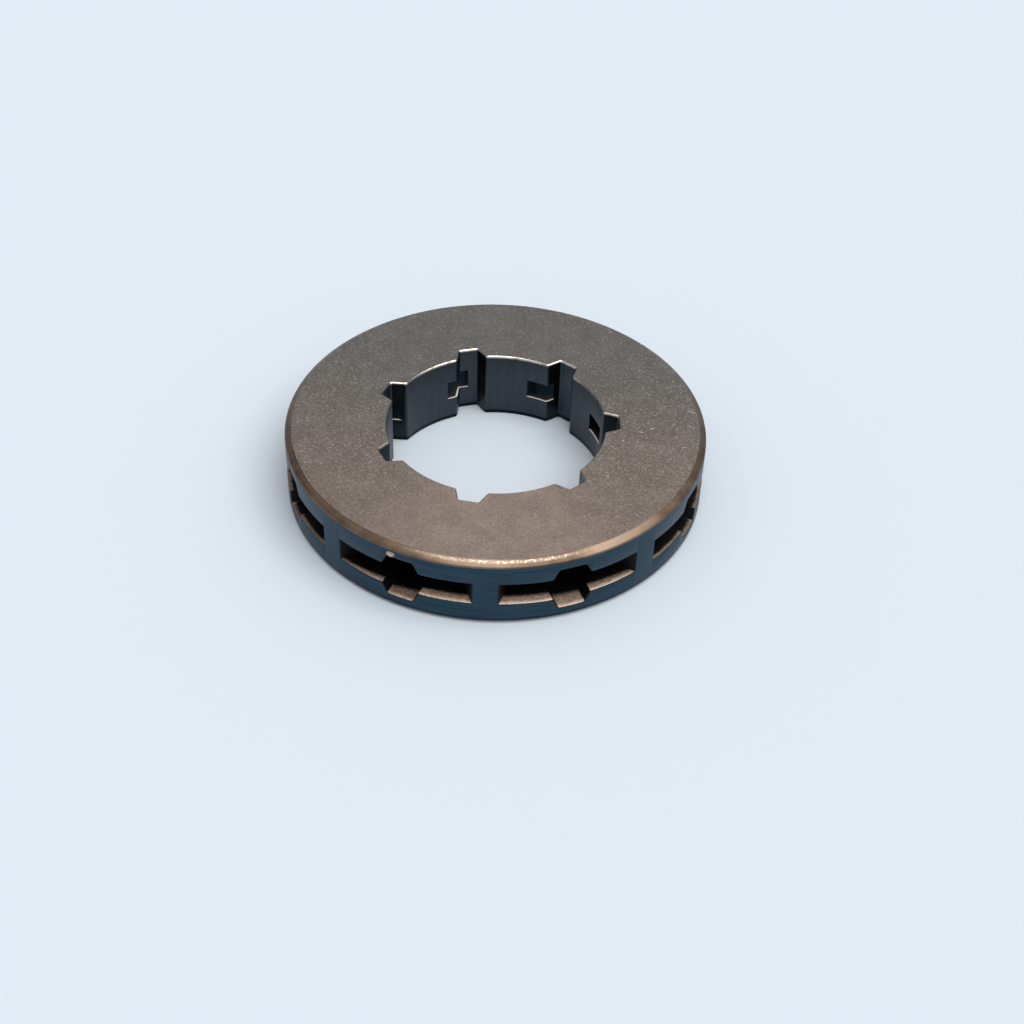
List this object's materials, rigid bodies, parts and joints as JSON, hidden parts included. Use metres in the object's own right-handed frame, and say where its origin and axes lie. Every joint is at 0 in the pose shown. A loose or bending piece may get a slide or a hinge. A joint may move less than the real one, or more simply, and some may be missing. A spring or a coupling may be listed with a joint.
{
  "type": "chain sprocket",
  "caption": "Ring-shaped rim sprocket with a splined bore and drive-link pockets around its rim, which drives a saw chain.",
  "frame": {"origin": "on the bore axis, in the plane of the lower face", "axes": "+Z along the bore axis, up from the lower face; +X through the middle of one drive-link pocket, which lies in line with one notch of the bore"},
  "size_m": [0.0366, 0.0366, 0.0065],
  "materials": {
    "sprocket_steel": "matte dark heat-treated steel, bright where the edges are worn"
  },
  "bodies": {
    "root": {"rim_sprocket": "sprocket_steel"}
  },
  "joints": []
}
